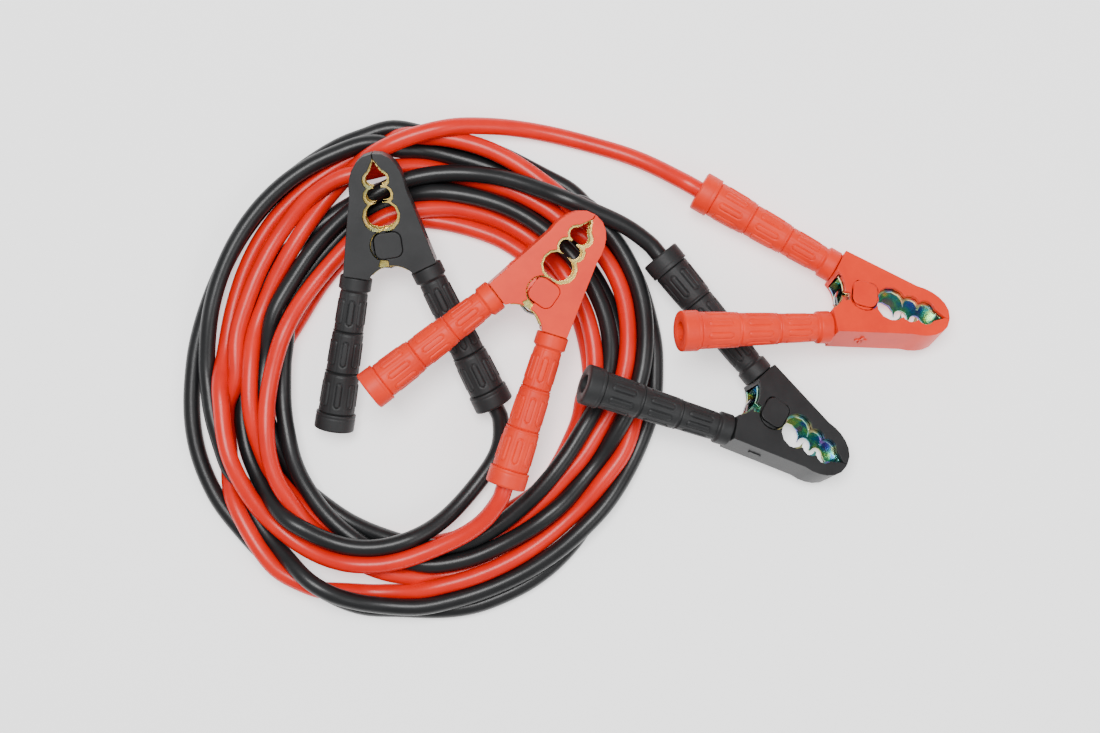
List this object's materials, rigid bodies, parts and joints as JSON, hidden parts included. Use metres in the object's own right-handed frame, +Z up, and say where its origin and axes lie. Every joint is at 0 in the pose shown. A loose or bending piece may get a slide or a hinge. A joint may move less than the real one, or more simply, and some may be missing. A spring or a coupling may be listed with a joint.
{
  "type": "car jumper cable set",
  "caption": "Coiled red and black copper booster cables with hinged, spring-closed battery clamps on both ends of each cable, as they lie on a floor.",
  "frame": {"origin": "middle of the clamps' footprint, on the floor the set lies on", "axes": "+X to the right of the picture, from the coil towards the far red clamp; +Y up the picture; +Z up"},
  "size_m": [0.5234, 0.3397, 0.0824],
  "materials": {
    "red_plastic": "satin",
    "black_plastic": "satin",
    "red_grip": "satin",
    "black_grip": "satin",
    "red_cable": "satin",
    "black_cable": "satin",
    "plated_steel": "yellow zinc plating",
    "spring_steel": "bright wire"
  },
  "bodies": {
    "cables": {"red_clamp_1_lead_cover": "red_plastic", "red_clamp_1_lead_jaw": "plated_steel", "red_clamp_1_lead_grip": "red_grip", "red_clamp_1_pivot_pin": "plated_steel", "red_clamp_1_spring": "spring_steel", "red_clamp_1_cap_top": "red_plastic", "red_clamp_1_cap_bottom": "red_plastic", "red_clamp_1_lead": "red_cable", "red_clamp_2_lead_cover": "red_plastic", "red_clamp_2_lead_jaw": "plated_steel", "red_clamp_2_lead_grip": "red_grip", "red_clamp_2_pivot_pin": "plated_steel", "red_clamp_2_spring": "spring_steel", "red_clamp_2_cap_top": "red_plastic", "red_clamp_2_cap_bottom": "red_plastic", "red_clamp_2_lead": "red_cable", "black_clamp_1_lead_cover": "black_plastic", "black_clamp_1_lead_jaw": "plated_steel", "black_clamp_1_lead_grip": "black_grip", "black_clamp_1_pivot_pin": "plated_steel", "black_clamp_1_spring": "spring_steel", "black_clamp_1_cap_top": "black_plastic", "black_clamp_1_cap_bottom": "black_plastic", "black_clamp_1_lead": "black_cable", "black_clamp_2_lead_cover": "black_plastic", "black_clamp_2_lead_jaw": "plated_steel", "black_clamp_2_lead_grip": "black_grip", "black_clamp_2_pivot_pin": "plated_steel", "black_clamp_2_spring": "spring_steel", "black_clamp_2_cap_top": "black_plastic", "black_clamp_2_cap_bottom": "black_plastic", "black_clamp_2_lead": "black_cable", "cable_coil": "black_cable"},
    "red_clamp_1_free_half": {"red_clamp_1_free_cover": "red_plastic", "red_clamp_1_free_jaw": "plated_steel", "red_clamp_1_free_grip": "red_grip"},
    "red_clamp_2_free_half": {"red_clamp_2_free_cover": "red_plastic", "red_clamp_2_free_jaw": "plated_steel", "red_clamp_2_free_grip": "red_grip"},
    "black_clamp_1_free_half": {"black_clamp_1_free_cover": "black_plastic", "black_clamp_1_free_jaw": "plated_steel", "black_clamp_1_free_grip": "black_grip"},
    "black_clamp_2_free_half": {"black_clamp_2_free_cover": "black_plastic", "black_clamp_2_free_jaw": "plated_steel", "black_clamp_2_free_grip": "black_grip"}
  },
  "joints": [
    {"name": "red_clamp_1_pivot", "type": "hinge", "parent": "cables", "child": "red_clamp_1_free_half", "pos_m": [0.15147, 0.01157, 0.02564], "axis": [-0.2498, -0.4208, -0.8721], "range_deg": [0, 24], "stiffness_Nm_per_rad": 1.5, "springref_deg": -28.65},
    {"name": "red_clamp_2_pivot", "type": "hinge", "parent": "cables", "child": "red_clamp_2_free_half", "pos_m": [-0.06033, 0.01957, 0.0496], "axis": [0.0853, -0.0725, 0.9937], "range_deg": [0, 24], "stiffness_Nm_per_rad": 1.5, "springref_deg": -28.65},
    {"name": "black_clamp_1_pivot", "type": "hinge", "parent": "cables", "child": "black_clamp_1_free_half", "pos_m": [0.09047, -0.06493, 0.02419], "axis": [-0.3352, -0.2632, -0.9047], "range_deg": [0, 24], "stiffness_Nm_per_rad": 1.5, "springref_deg": -28.65},
    {"name": "black_clamp_2_pivot", "type": "hinge", "parent": "cables", "child": "black_clamp_2_free_half", "pos_m": [-0.16243, 0.05137, 0.038], "axis": [0.0275, -0.1888, 0.9816], "range_deg": [0, 24], "stiffness_Nm_per_rad": 1.5, "springref_deg": -28.65}
  ]
}
